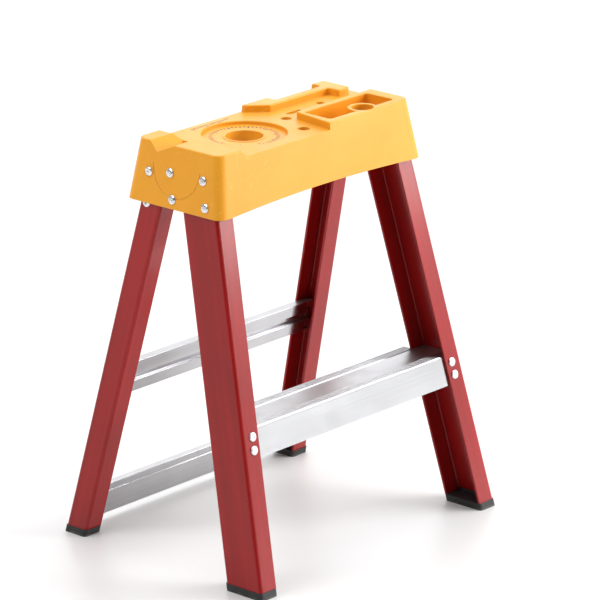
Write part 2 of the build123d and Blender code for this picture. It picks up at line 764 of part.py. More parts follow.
add_pair("front_shoe", shoe(
    front_web, front_face, lambda z: front_face(z) + front_rail_depth,
    front_flange, front_flare, front_lean))
add_pair("rear_shoe", shoe(
    rear_web, lambda z: rear_face(z) - rear_rail_depth, rear_face,
    rear_flange, rear_flare, -rear_lean))

# ---------------------------------------------------------------- export
os.makedirs("parts", exist_ok=True)
for name, shape in parts.items():
    export_step(shape, "parts/" + name + ".step")
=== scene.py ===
import json
import math

import bmesh
import bpy
import numpy as np
from mathutils import Matrix, Vector


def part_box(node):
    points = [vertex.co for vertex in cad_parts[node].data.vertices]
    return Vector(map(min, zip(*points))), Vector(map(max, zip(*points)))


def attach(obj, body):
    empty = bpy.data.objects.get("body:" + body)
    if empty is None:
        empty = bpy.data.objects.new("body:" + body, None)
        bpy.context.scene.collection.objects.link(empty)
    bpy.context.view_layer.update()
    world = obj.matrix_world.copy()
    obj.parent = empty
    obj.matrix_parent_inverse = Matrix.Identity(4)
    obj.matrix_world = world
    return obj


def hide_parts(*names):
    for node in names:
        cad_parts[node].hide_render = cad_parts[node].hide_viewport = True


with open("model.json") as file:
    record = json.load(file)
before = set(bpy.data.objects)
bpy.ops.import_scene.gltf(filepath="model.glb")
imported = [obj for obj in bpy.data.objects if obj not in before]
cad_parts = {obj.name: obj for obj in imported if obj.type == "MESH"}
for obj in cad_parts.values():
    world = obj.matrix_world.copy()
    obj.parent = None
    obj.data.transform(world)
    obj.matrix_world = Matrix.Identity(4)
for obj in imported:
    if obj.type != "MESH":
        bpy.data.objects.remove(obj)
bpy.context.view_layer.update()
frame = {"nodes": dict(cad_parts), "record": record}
NODES = frame["nodes"]

bl_info = {
    "name": "Step ladder",
    "version": (1, 0, 0),
    "blender": (4, 5, 0),
    "location": "View3D > Sidebar > Ladder",
    "description": "Finish and fine detail of a folding step ladder",
    "category": "Add Mesh",
}

MM = 0.001
STAND = "stand"
REAR_FRAME = "rear_frame"
SIDES = ("left", "right")


# ------------------------------------------------------------------ sizes and colours
class LadderSizes(bpy.types.PropertyGroup):
    """Sizes of the rivets and of the marks on the cap."""

    head_radius: bpy.props.FloatProperty(
        name="Head radius", description="Radius of a rivet's head", default=6.5 * MM,
        subtype="DISTANCE", unit="LENGTH")
    head_height: bpy.props.FloatProperty(
        name="Head height", description="Height of a rivet's head", default=2.5 * MM,
        subtype="DISTANCE", unit="LENGTH")
    head_edge: bpy.props.FloatProperty(
        name="Head edge", description="Height of the straight edge of a head",
        default=0.9 * MM, subtype="DISTANCE", unit="LENGTH")
    dimple_radius: bpy.props.FloatProperty(
        name="Dimple radius", description="Radius of the dimple in a head",
        default=2.1 * MM, subtype="DISTANCE", unit="LENGTH")
    dimple_depth: bpy.props.FloatProperty(
        name="Dimple depth", description="Depth of the dimple in a head",
        default=1.3 * MM, subtype="DISTANCE", unit="LENGTH")
    shank_radius: bpy.props.FloatProperty(
        name="Shank radius", description="Radius of a rivet's shank", default=3.2 * MM,
        subtype="DISTANCE", unit="LENGTH")
    tail_radius: bpy.props.FloatProperty(
        name="Tail radius", description="Radius of a rivet's formed tail",
        default=5.2 * MM, subtype="DISTANCE", unit="LENGTH")
    tail_height: bpy.props.FloatProperty(
        name="Tail height", description="Height of a rivet's formed tail",
        default=1.8 * MM, subtype="DISTANCE", unit="LENGTH")
    around: bpy.props.IntProperty(
        name="Steps around", description="Faces round one rivet", default=40, min=12)
    tick_width: bpy.props.FloatProperty(
        name="Tick width", description="Width of one mark", default=2.2 * MM,
        subtype="DISTANCE", unit="LENGTH")
    tick_length: bpy.props.FloatProperty(
        name="Tick length", description="Length of a short mark", default=5.5 * MM,
        subtype="DISTANCE", unit="LENGTH")
    tick_height: bpy.props.FloatProperty(
        name="Tick height", description="How far a printed mark stands up",
        default=0.12 * MM, subtype="DISTANCE", unit="LENGTH")
    dial_radius: bpy.props.FloatProperty(
        name="Dial radius", description="Radius of the ring of marks in the recess",
        default=49.0 * MM, subtype="DISTANCE", unit="LENGTH")
    dial_ticks: bpy.props.IntProperty(
        name="Dial marks", description="Marks round the recess", default=50, min=8)
    rule_ticks: bpy.props.IntProperty(
        name="Rule marks", description="Marks along the rear of the deck", default=15,
        min=2)
    rule_step: bpy.props.FloatProperty(
        name="Rule step", description="Distance between two marks on the deck",
        default=5.0 * MM, subtype="DISTANCE", unit="LENGTH")


class LadderColours(bpy.types.PropertyGroup):
    """Base colours of the finishes, linear."""

    cap: bpy.props.FloatVectorProperty(
        name="Cap", description="Moulded plastic of the cap", size=3, subtype="COLOR",
        default=(0.80, 0.34, 0.016))
    cap_deep: bpy.props.FloatVectorProperty(
        name="Cap, deep", description="Darker patches of the cap", size=3,
        subtype="COLOR", default=(0.70, 0.27, 0.010))
    cap_pale: bpy.props.FloatVectorProperty(
        name="Cap, rubbed", description="Rubbed edges and scuffs of the cap", size=3,
        subtype="COLOR", default=(0.93, 0.55, 0.14))
    rail: bpy.props.FloatVectorProperty(
        name="Rail", description="Pigmented fibreglass of the rails", size=3,
        subtype="COLOR", default=(0.34, 0.004, 0.004))
    rail_deep: bpy.props.FloatVectorProperty(
        name="Rail, deep", description="Darker streaks of the rails", size=3,
        subtype="COLOR", default=(0.22, 0.003, 0.003))
    rail_chip: bpy.props.FloatVectorProperty(
        name="Rail, chipped", description="Bare glass at chips and edges", size=3,
        subtype="COLOR", default=(0.62, 0.30, 0.26))
    metal: bpy.props.FloatVectorProperty(
        name="Extrusion", description="Mill finish of the tread and the bars", size=3,
        subtype="COLOR", default=(0.56, 0.56, 0.57))
    # The dull colour also serves as painted shade on the up-facing tops of the tread and bars.
    metal_deep: bpy.props.FloatVectorProperty(
        name="Extrusion, dull", description="Dull streaks and handling marks", size=3,
        subtype="COLOR", default=(0.42, 0.42, 0.44))
    rivet: bpy.props.FloatVectorProperty(
        name="Rivet", description="Plating of the rivets", size=3, subtype="COLOR",
        default=(0.82, 0.83, 0.84))
    zinc: bpy.props.FloatVectorProperty(
        name="Zinc", description="Plating of the brackets", size=3, subtype="COLOR",
        default=(0.58, 0.59, 0.60))
    nylon: bpy.props.FloatVectorProperty(
        name="Nylon", description="Hinge washers", size=3, subtype="COLOR",
        default=(0.80, 0.78, 0.72))
    rubber: bpy.props.FloatVectorProperty(
        name="Rubber", description="Shoes", size=3, subtype="COLOR",
        default=(0.014, 0.014, 0.015))
    dust: bpy.props.FloatVectorProperty(
        name="Dust", description="Dust and floor dirt", size=3, subtype="COLOR",
        default=(0.30, 0.27, 0.24))
    ink: bpy.props.FloatVectorProperty(
        name="Ink", description="Printed marks on the cap", size=3, subtype="COLOR",
        default=(0.018, 0.016, 0.015))


class LadderStage(bpy.types.PropertyGroup):
    """Floor, light and camera."""

    floor: bpy.props.FloatVectorProperty(
        name="Floor", description="Colour of the floor", size=3, subtype="COLOR",
        default=(0.70, 0.70, 0.70))
    ambient: bpy.props.FloatProperty(
        name="Ambient", description="Strength of the light from the left",
        default=0.05)
    backdrop: bpy.props.FloatProperty(
        name="Backdrop", description="Strength of the light from the right",
        default=1.05)
    front_power: bpy.props.FloatProperty(
        name="Front light", description="Power of the soft light before the ladder",
        default=105.0, unit="POWER")
    side_power: bpy.props.FloatProperty(
        name="Side light", description="Power of the soft light at the ladder's left",
        default=46.0, unit="POWER")
    back_power: bpy.props.FloatProperty(
        name="Back light", description="Power of the soft light behind the ladder",
        default=18.0, unit="POWER")
    top_power: bpy.props.FloatProperty(
        name="Top light", description="Power of the soft light overhead",
        default=40.0, unit="POWER")
    lens: bpy.props.FloatProperty(
        name="Lens", description="Focal length on a 36 mm sensor, in millimetres",
        default=270.06)


def sizes():
    return bpy.context.scene.ladder_sizes


def colours():
    return bpy.context.scene.ladder_colours


def stage_values():
    return bpy.context.scene.ladder_stage


# ------------------------------------------------------------------ node trees
class Graph:
    """Short calls that add nodes to one tree and join them."""

    def __init__(self, tree):
        self.tree = tree

    def add(self, kind, values=None, **settings):
        node = self.tree.nodes.new(kind)
        for key, value in settings.items():
            setattr(node, key, value)
        for key, value in (values or {}).items():
            self.feed(node.inputs[key], value)
        return node

    def feed(self, socket, value):
        if isinstance(value, bpy.types.NodeSocket):
            self.tree.links.new(value, socket)
        else:
            socket.default_value = value

    def math(self, operation, *terms, clamp=False):
        kind = "ShaderNodeMath"
        node = self.add(kind, dict(enumerate(terms)), operation=operation, use_clamp=clamp)
        return node.outputs[0]

    def vector(self, operation, *terms):
        node = self.add("ShaderNodeVectorMath", dict(enumerate(terms)), operation=operation)
        return node.outputs["Value" if operation == "DOT_PRODUCT" else "Vector"]

    def remap(self, value, low, high, to_low=0.0, to_high=1.0):
        node = self.add("ShaderNodeMapRange", {
            "Value": value, "From Min": low, "From Max": high,
            "To Min": to_low, "To Max": to_high})
        return node.outputs["Result"]

    def noise(self, vector, scale, detail=2.0, roughness=0.5):
        node = self.add("ShaderNodeTexNoise", {
            "Vector": vector, "Scale": scale, "Detail": detail, "Roughness": roughness})
        return node.outputs[0]

    def mix(self, share, first, second):
        """Two colours mixed by a share."""
        node = self.add("ShaderNodeMix", data_type="RGBA")
        for name, value in (("Factor_Float", share), ("A_Color", first), ("B_Color", second)):
            socket = next(s for s in node.inputs if s.identifier == name)
            if not isinstance(value, (bpy.types.NodeSocket, float)):
                value = (*value, 1.0)
            self.feed(socket, value)
        return next(s for s in node.outputs if s.identifier == "Result_Color")


def new_tree(name, kind, inputs, outputs):
    """An empty node group with named sockets. Inputs are (name, socket type, default)."""
    tree = bpy.data.node_groups.new(name, kind)
    for label, socket_type, default in inputs:
        socket = tree.interface.new_socket(label, in_out="INPUT", socket_type=socket_type)
        if default is not None:
            socket.default_value = default
    for label, socket_type in outputs:
        tree.interface.new_socket(label, in_out="OUTPUT", socket_type=socket_type)
    graph = Graph(tree)
    source = graph.add("NodeGroupInput").outputs
    target = graph.add("NodeGroupOutput").inputs
    return graph, source, target


# ------------------------------------------------------------------ effects shared by finishes
def grain_effect():
    """Fine moulded grain, and slow patches of tone."""
    graph, given, out = new_tree("Moulded grain", "ShaderNodeTree", [
        ("Vector", "NodeSocketVector", None), ("Scale", "NodeSocketFloat", 900.0),
        ("Patch Scale", "NodeSocketFloat", 14.0),
    ], [("Height", "NodeSocketFloat"), ("Patches", "NodeSocketFloat")])
    fine = graph.noise(given["Vector"], given["Scale"], 3.0, 0.6)
    coarse = graph.noise(given["Vector"], graph.math("MULTIPLY", given["Scale"], 0.18), 2.0)
    graph.feed(out["Height"], graph.math("MULTIPLY_ADD", coarse, 0.6, fine))
    patches = graph.noise(given["Vector"], given["Patch Scale"], 4.0, 0.55)
    graph.feed(out["Patches"], graph.remap(patches, 0.35, 0.68))
    return graph.tree


def streak_effect():
    """Lines drawn out along X: die lines, brushing or glass strands."""
    graph, given, out = new_tree("Drawn streaks", "ShaderNodeTree", [
        ("Vector", "NodeSocketVector", None), ("Along", "NodeSocketFloat", 3.0),
        ("Across", "NodeSocketFloat", 500.0),
    ], [("Fine", "NodeSocketFloat"), ("Broad", "NodeSocketFloat")])
    stretch = graph.add("ShaderNodeCombineXYZ", {
        0: given["Along"], 1: given["Across"], 2: given["Across"]}).outputs[0]
    drawn = graph.vector("MULTIPLY", given["Vector"], stretch)
    graph.feed(out["Fine"], graph.noise(drawn, 1.0, 4.0, 0.65))
    broad = graph.noise(graph.vector("MULTIPLY", drawn, (0.4, 0.12, 0.12)), 1.0, 3.0)
    graph.feed(out["Broad"], graph.remap(broad, 0.35, 0.65))
    return graph.tree


def scuff_effect():
    """Thin scratches in two directions, gathered in patches."""
    graph, given, out = new_tree("Scuffs", "ShaderNodeTree", [
        ("Vector", "NodeSocketVector", None), ("Scale", "NodeSocketFloat", 40.0),
        ("Amount", "NodeSocketFloat", 0.5),
    ], [("Mask", "NodeSocketFloat")])
    families = []
    for turn, offset in (((0.5, 0.2, 0.9), 3.1), ((-0.3, 0.8, -0.5), 11.7)):
        turned = graph.add("ShaderNodeMapping", {
            "Vector": given["Vector"], "Rotation": turn,
            "Location": (offset, offset, offset)}).outputs[0]
        drawn = graph.vector("MULTIPLY", turned, (1.0, 26.0, 26.0))
        lines = graph.noise(drawn, given["Scale"], 1.0)
        families.append(graph.remap(lines, 0.70, 0.76))
    both = graph.math("MAXIMUM", families[0], families[1])
    where = graph.noise(given["Vector"], graph.math("MULTIPLY", given["Scale"], 0.35), 2.0)
    gathered = graph.math("MULTIPLY", both, graph.remap(where, 0.5, 0.62))
    graph.feed(out["Mask"], graph.math("MULTIPLY", gathered, given["Amount"], clamp=True))
    return graph.tree


def lean_effect():
    """Straightens a leaning rail: X of the result runs along it."""
    graph, given, out = new_tree("Along the rail", "ShaderNodeTree", [
        ("Vector", "NodeSocketVector", None), ("Run X", "NodeSocketFloat", 0.0),
        ("Run Y", "NodeSocketFloat", 0.0),
    ], [("Vector", "NodeSocketVector")])
    part = graph.add("ShaderNodeSeparateXYZ", {0: given["Vector"]}).outputs
    across = graph.math("SUBTRACT", part[0], graph.math("MULTIPLY", part[2], given["Run X"]))
    through = graph.math("SUBTRACT", part[1], graph.math("MULTIPLY", part[2], given["Run Y"]))
    joined = graph.add("ShaderNodeCombineXYZ", {0: part[2], 1: across, 2: through})
    graph.feed(out["Vector"], joined.outputs[0])
    return graph.tree


def dust_effect():
    """Dust that lies on what faces up."""
    graph, given, out = new_tree("Settled dust", "ShaderNodeTree", [
        ("Vector", "NodeSocketVector", None), ("Facing", "NodeSocketVector", None),
        ("Scale", "NodeSocketFloat", 20.0), ("Amount", "NodeSocketFloat", 0.3),
    ], [("Mask", "NodeSocketFloat")])
    up = graph.add("ShaderNodeSeparateXYZ", {0: given["Facing"]}).outputs[2]
    cloud = graph.remap(graph.noise(given["Vector"], given["Scale"], 5.0, 0.65), 0.48, 0.75)
    lying = graph.math("MULTIPLY", graph.remap(up, 0.6, 0.95), cloud)
    graph.feed(out["Mask"], graph.math("MULTIPLY", lying, given["Amount"], clamp=True))
    return graph.tree


EFFECTS = {
    "grain": grain_effect, "streaks": streak_effect, "scuffs": scuff_effect,
    "lean": lean_effect, "dust": dust_effect,
}
built_effects = {}


def effect(graph, name, values):
    """A copy of a shared effect in this material, with its own values."""
    if name not in built_effects:
        built_effects[name] = EFFECTS[name]()
    node = graph.add("ShaderNodeGroup", node_tree=built_effects[name])
    for key, value in values.items():
        graph.feed(node.inputs[key], value)
    return node.outputs


# ------------------------------------------------------------------ finishes
class Finish(Graph):
    """A material with one Principled surface, coordinates and rounded edges."""

    def __init__(self, name, **constants):
        self.material = bpy.data.materials.new(name)
        self.material.use_nodes = True
        super().__init__(self.material.node_tree)
        self.tree.nodes.clear()
        self.surface = self.add("ShaderNodeBsdfPrincipled")
        for key, value in constants.items():
            self.surface.inputs[key.replace("_", " ")].default_value = value
        self.feed(self.add("ShaderNodeOutputMaterial").inputs["Surface"],
                  self.surface.outputs[0])
        coordinates = self.add("ShaderNodeTexCoord").outputs
        self.place = coordinates["Object"]
        self.facing = coordinates["Normal"]

    def set(self, name, value):
        self.feed(self.surface.inputs[name], value)

    def relief(self, heights, edge=0.6):
        """Bumps laid over each other, on edges rounded by edge millimetres."""
        normal = self.add("ShaderNodeBevel", {"Radius": edge * MM}, samples=4).outputs[0]
        for height, strength, depth in heights:
            normal = self.add("ShaderNodeBump", {
                "Height": height, "Strength": strength, "Distance": depth * MM,
                "Normal": normal}).outputs[0]
        self.set("Normal", normal)

    def edges(self, width, low=0.02, high=0.3):
        """Mask of the edges of the shape, width in millimetres."""
        rounded = self.add("ShaderNodeBevel", {"Radius": width * MM}, samples=4).outputs[0]
        straight = self.add("ShaderNodeNewGeometry").outputs["Normal"]
        alike = self.vector("DOT_PRODUCT", rounded, straight)
        return self.remap(self.math("SUBTRACT", 1.0, alike), low, high)


def cap_finish():
    """Satin moulded plastic, rubbed at its edges and a little scuffed."""
    finish = Finish("cap_moulded_plastic", IOR=1.49, Specular_IOR_Level=0.4)
    tone = colours()
    grain = effect(finish, "grain", {"Vector": finish.place, "Scale": 1400.0,
                                     "Patch Scale": 11.0})
    scuffs = effect(finish, "scuffs", {"Vector": finish.place, "Scale": 16.0,
                                       "Amount": 0.55})["Mask"]
    dust = effect(finish, "dust", {"Vector": finish.place, "Facing": finish.facing,
                                   "Scale": 24.0, "Amount": 0.16})["Mask"]
    rubbed = finish.math("MULTIPLY", finish.edges(1.6), 0.35)
    colour = finish.mix(finish.math("MULTIPLY", grain["Patches"], 0.45),
                        tone.cap, tone.cap_deep)
    colour = finish.mix(finish.math("MAXIMUM", rubbed, scuffs), colour, tone.cap_pale)
    colour = finish.mix(dust, colour, tone.dust)
    finish.set("Base Color", colour)
    rough = finish.remap(grain["Patches"], 0.0, 1.0, 0.36, 0.46)
    finish.set("Roughness", finish.math("MULTIPLY_ADD", scuffs, 0.18, rough))
    sink = effect(finish, "grain", {"Vector": finish.place, "Scale": 60.0})["Height"]
    finish.relief([(sink, 0.12, 0.6), (grain["Height"], 0.22, 0.10),
                   (scuffs, -0.25, 0.08)], 0.9)
    return finish.material


def rail_finish(name, run_x, run_y):
    """Pultruded fibreglass: strands along the rail under a glossy resin skin."""
    finish = Finish(name, IOR=1.5, Specular_IOR_Level=0.2,
                    Coat_Weight=0.4, Coat_Roughness=0.13)
    tone = colours()
    along = effect(finish, "lean", {"Vector": finish.place, "Run X": run_x,
                                    "Run Y": run_y})["Vector"]
    strands = effect(finish, "streaks", {"Vector": along, "Along": 7.0,
                                         "Across": 900.0})
    clouds = effect(finish, "grain", {"Vector": finish.place, "Scale": 700.0,
                                      "Patch Scale": 9.0})
    scuffs = effect(finish, "scuffs", {"Vector": finish.place, "Scale": 22.0,
                                       "Amount": 0.5})["Mask"]
    share = finish.math("MULTIPLY_ADD", strands["Broad"], 0.5,
                        finish.math("MULTIPLY", clouds["Patches"], 0.35))
    colour = finish.mix(share, tone.rail, tone.rail_deep)
    chips = finish.math("MULTIPLY", finish.edges(1.0, 0.05, 0.35),
                        finish.remap(finish.noise(finish.place, 130.0, 4.0, 0.7), 0.60, 0.68))
    worn = finish.math("MAXIMUM", finish.math("MULTIPLY", chips, 0.8),
                       finish.math("MULTIPLY", scuffs, 0.15))
    finish.set("Base Color", finish.mix(worn, colour, tone.rail_chip))
    rough = finish.remap(strands["Fine"], 0.3, 0.7, 0.30, 0.40)
    finish.set("Roughness", finish.math("MULTIPLY_ADD", worn, 0.2, rough))
    finish.relief([(strands["Fine"], 0.18, 0.08), (clouds["Patches"], 0.05, 0.5),
                   (chips, -0.5, 0.12)], 0.5)
    return finish.material


def extrusion_finish():
    """Mill-finish metal with die lines along X, dull smears and fine scratches, and painted
    shade darkening the faces that look up.
    """
    finish = Finish("mill_finish_extrusion", Metallic=1.0)
    tone = colours()
    lines = effect(finish, "streaks", {"Vector": finish.place, "Along": 2.0,
                                       "Across": 1300.0})
    smears = effect(finish, "grain", {"Vector": finish.place, "Scale": 500.0,
                                      "Patch Scale": 17.0})["Patches"]
    scuffs = effect(finish, "scuffs", {"Vector": finish.place, "Scale": 30.0,
                                       "Amount": 0.4})["Mask"]
    dust = effect(finish, "dust", {"Vector": finish.place, "Facing": finish.facing,
                                   "Scale": 30.0, "Amount": 0.18})["Mask"]
    share = finish.math("MULTIPLY_ADD", lines["Broad"], 0.35,
                        finish.math("MULTIPLY", smears, 0.25))
    colour = finish.mix(share, tone.metal, tone.metal_deep)
    colour = finish.mix(finish.math("MULTIPLY", scuffs, 0.5), colour, tone.metal_deep)
    # Faces that look up: rougher from foot wear, and darkened towards the dull colour as
    # painted shade on the tops of the tread and bars.
    top_wear_and_shade = finish.remap(finish.vector("DOT_PRODUCT", finish.facing, (0.0, 0.0, 1.0)),
                          0.90, 0.99)
    colour = finish.mix(finish.math("MULTIPLY", top_wear_and_shade, 0.75), colour, tone.metal_deep)
    finish.set("Base Color", finish.mix(dust, colour, tone.dust))
    rough = finish.remap(lines["Fine"], 0.3, 0.7, 0.13, 0.19)
    rough = finish.math("MULTIPLY_ADD", top_wear_and_shade, 0.20, rough)
    rough = finish.math("MULTIPLY_ADD", smears, 0.05, rough)
    rough = finish.math("MULTIPLY_ADD", dust, 0.4, rough)
    finish.set("Roughness", finish.math("MULTIPLY_ADD", scuffs, 0.2, rough))
    finish.relief([(lines["Fine"], 0.06, 0.03), (smears, 0.02, 0.2),
                   (scuffs, -0.12, 0.03)], 0.35)
    return finish.material


def rivet_finish():
    """Bright plated steel, with turning marks and small dents."""
    finish = Finish("plated_rivet", Metallic=1.0)
    grain = effect(finish, "grain", {"Vector": finish.place, "Scale": 2600.0,
                                     "Patch Scale": 240.0})
    tone = colours()
    finish.set("Base Color", finish.mix(
        finish.math("MULTIPLY", grain["Patches"], 0.35), tone.rivet, tone.zinc))
    finish.set("Roughness", finish.remap(grain["Patches"], 0.0, 1.0, 0.20, 0.34))
    finish.relief([(grain["Height"], 0.2, 0.05), (grain["Patches"], 0.12, 0.15)], 0.3)
    return finish.material


def zinc_finish():
    """Zinc-plated sheet, rolled along its length."""
    finish = Finish("zinc_plated_sheet", Metallic=1.0)
    tone = colours()
    rolled = effect(finish, "streaks", {"Vector": finish.place, "Along": 40.0,
                                        "Across": 900.0})
    spangle = effect(finish, "grain", {"Vector": finish.place, "Scale": 600.0,
                                       "Patch Scale": 120.0})["Patches"]
    finish.set("Base Color", finish.mix(
        finish.math("MULTIPLY", spangle, 0.5), tone.zinc, tone.metal_deep))
    finish.set("Roughness", finish.remap(rolled["Fine"], 0.3, 0.7, 0.32, 0.48))
    finish.relief([(rolled["Fine"], 0.2, 0.04), (spangle, 0.08, 0.1)], 0.3)
    return finish.material


def nylon_finish():
    """Natural nylon, slightly marbled."""
    finish = Finish("hinge_nylon")
    tone = colours()
    grain = effect(finish, "grain", {"Vector": finish.place, "Scale": 1500.0,
                                     "Patch Scale": 160.0})
    finish.set("Base Color", finish.mix(
        finish.math("MULTIPLY", grain["Patches"], 0.2), tone.nylon, tone.dust))
    finish.set("Roughness", finish.remap(grain["Patches"], 0.0, 1.0, 0.38, 0.5))
    finish.relief([(grain["Height"], 0.15, 0.06)], 0.3)
    return finish.material


def rubber_finish():
    """Black rubber with a fine matt grain and floor dust near the ground."""
    finish = Finish("shoe_rubber_grain", IOR=1.48)
    tone = colours()
    grain = effect(finish, "grain", {"Vector": finish.place, "Scale": 1300.0,
                                     "Patch Scale": 60.0})
    height = finish.add("ShaderNodeSeparateXYZ", {0: finish.place}).outputs[2]
    low = finish.remap(height, 4.0 * MM, 0.0)
    dirt = finish.math("MULTIPLY", finish.math("MULTIPLY_ADD", low, 0.4, 0.08),
                       grain["Patches"])
    finish.set("Base Color", finish.mix(dirt, tone.rubber, tone.dust))
    finish.set("Roughness", finish.remap(grain["Patches"], 0.0, 1.0, 0.52, 0.72))
    finish.relief([(grain["Height"], 0.35, 0.12)], 0.8)
    return finish.material


def ink_finish():
    """Printed ink, worn through in specks."""
    finish = Finish("printed_ink")
    tone = colours()
    worn = finish.remap(finish.noise(finish.place, 900.0, 4.0, 0.7), 0.55, 0.68)
    finish.set("Base Color", finish.mix(finish.math("MULTIPLY", worn, 0.7),
                                        tone.ink, tone.cap_deep))
    finish.set("Roughness", finish.remap(worn, 0.0, 1.0, 0.5, 0.42))
    return finish.material


def coat(node, material):
    """Give a frame node its finish. The mesh stays as it is."""
    for slot in NODES[node].material_slots:
        slot.link = "OBJECT"
        slot.material = material


# ------------------------------------------------------------------ repeated shapes
def blend_of(graph, given, terms):
    """Sum of named inputs, each times a factor."""
    total = None
    for name, factor in terms.items():
        if total is None:
            total = graph.math("MULTIPLY", given[name], factor)
        else:
            total = graph.math("MULTIPLY_ADD", given[name], factor, total)
    return total if total is not None else 0.0


def rivet_profile():
    """Radius and height of each step of a rivet's outline, from the dimple to the tail."""
    dimple, head, shank, tail = "Dimple Radius", "Head Radius", "Shank Radius", "Tail Radius"
    top, edge = "Head Height", "Head Edge"
    depth, foot = "Dimple Depth", "Tail Height"
    steps = [
        ({}, {top: 1.0, depth: -1.0}),
        ({dimple: 0.45}, {top: 1.0, depth: -1.0}),
        ({dimple: 0.72}, {top: 1.0, depth: -0.88}),
        ({dimple: 0.86}, {top: 1.0, depth: -0.30}),
        ({dimple: 1.0}, {top: 1.0, depth: -0.04}),
    ]
    arc_steps = 7
    for i in range(arc_steps + 1):
        turn = math.radians(12) + math.radians(78) * i / arc_steps
        share = math.sin(turn)
        steps.append(({dimple: 1.0 - share, head: share},
                      {top: math.cos(turn), edge: 1.0 - math.cos(turn)}))
    steps += [
        ({head: 1.0}, {edge: 0.3}),
        ({head: 0.96}, {}),
        ({shank: 1.0}, {}),
    ]
    below = len(steps)
    steps += [
        ({shank: 1.0}, {}),
        ({tail: 0.97}, {}),
        ({tail: 1.0}, {foot: -0.2}),
        ({tail: 0.99}, {foot: -0.7}),
        ({tail: 0.90}, {foot: -0.94}),
        ({tail: 0.78}, {foot: -1.0}),
        ({tail: 0.34}, {foot: -1.0}),
        ({tail: 0.28}, {foot: -0.72}),
        ({}, {foot: -0.66}),
    ]
    return steps, below


RIVET_INPUTS = ("Head Radius", "Head Height", "Head Edge", "Dimple Radius", "Dimple Depth",
                "Shank Radius", "Tail Radius", "Tail Height")


def rivet_tree():
    """Rivets on points: each point holds the axis and the grip of one rivet."""
    graph, given, out = new_tree("Rivets on points", "GeometryNodeTree", [
        ("Geometry", "NodeSocketGeometry", None),
        *[(name, "NodeSocketFloat", 0.001) for name in RIVET_INPUTS],
        ("Around", "NodeSocketInt", 40), ("Seed", "NodeSocketInt", 5),
        ("Material", "NodeSocketMaterial", None),
    ], [("Geometry", "NodeSocketGeometry")])
    steps, below = rivet_profile()
    last = len(steps) - 1
    grid = graph.add("GeometryNodeMeshGrid", {
        "Size X": 1.0, "Size Y": 1.0,
        "Vertices X": graph.math("ADD", given["Around"], 1.0), "Vertices Y": last + 1})
    place = graph.add("ShaderNodeSeparateXYZ", {
        0: graph.add("GeometryNodeInputPosition").outputs[0]}).outputs
    turn = graph.math("MULTIPLY", graph.math("ADD", place[0], 0.5), math.tau)
    step = graph.math("ROUND", graph.math("MULTIPLY", graph.math("ADD", place[1], 0.5),
                                          float(last)))
    chosen = []
    for column in (0, 1):
        switch = graph.add("GeometryNodeIndexSwitch", data_type="FLOAT")
        while len(switch.index_switch_items) < len(steps):
            switch.index_switch_items.new()
        graph.feed(switch.inputs["Index"], step)
        for i, pair in enumerate(steps):
            graph.feed(switch.inputs[i + 1], blend_of(graph, given, pair[column]))
        chosen.append(switch.outputs[0])
    radius, height = chosen
    spot = graph.add("ShaderNodeCombineXYZ", {
        0: graph.math("MULTIPLY", radius, graph.math("COSINE", turn)),
        1: graph.math("MULTIPLY", radius, graph.math("SINE", turn)), 2: height}).outputs[0]
    turned = graph.add("GeometryNodeSetPosition", {
        "Geometry": grid.outputs["Mesh"], "Position": spot}).outputs[0]
    marked = graph.add("GeometryNodeStoreNamedAttribute", {
        "Geometry": turned, "Name": "below",
        "Value": graph.math("GREATER_THAN", step, below - 0.5)},
        data_type="FLOAT", domain="POINT").outputs[0]
    closed = graph.add("GeometryNodeMergeByDistance", {
        "Geometry": marked, "Distance": 1e-6}).outputs[0]
    axis = graph.add("GeometryNodeInputNamedAttribute", {"Name": "axis"},
                     data_type="FLOAT_VECTOR").outputs[0]
    aligned = graph.add("FunctionNodeAlignRotationToVector", {"Vector": axis},
                        axis="Z").outputs[0]
    spin = graph.add("FunctionNodeRandomValue", {"Seed": given["Seed"]}, data_type="FLOAT")
    spin_by = graph.math("MULTIPLY", next(
        s for s in spin.outputs if s.identifier == "Value_001"), math.tau)
    spun = graph.add("FunctionNodeRotateRotation", {
        "Rotation": aligned,
        "Rotate By": graph.add("ShaderNodeCombineXYZ", {2: spin_by}).outputs[0]},
        rotation_space="LOCAL").outputs[0]
    laid = graph.add("GeometryNodeInstanceOnPoints", {
        "Points": given["Geometry"], "Instance": closed, "Rotation": spun}).outputs[0]
    real = graph.add("GeometryNodeRealizeInstances", {0: laid}).outputs[0]
    reach = graph.math("MULTIPLY", *[
        graph.add("GeometryNodeInputNamedAttribute", {"Name": name},
                  data_type="FLOAT").outputs[0] for name in ("grip", "below")])
    down = graph.add("ShaderNodeVectorMath", {
        0: axis, "Scale": graph.math("MULTIPLY", reach, -1.0)}, operation="SCALE").outputs[0]
    lengthened = graph.add("GeometryNodeSetPosition", {
        "Geometry": real, "Offset": down}).outputs[0]
    finished = graph.add("GeometryNodeSetMaterial", {
        "Geometry": lengthened, "Material": given["Material"]}).outputs[0]
    graph.feed(out["Geometry"], finished)
    return graph.tree


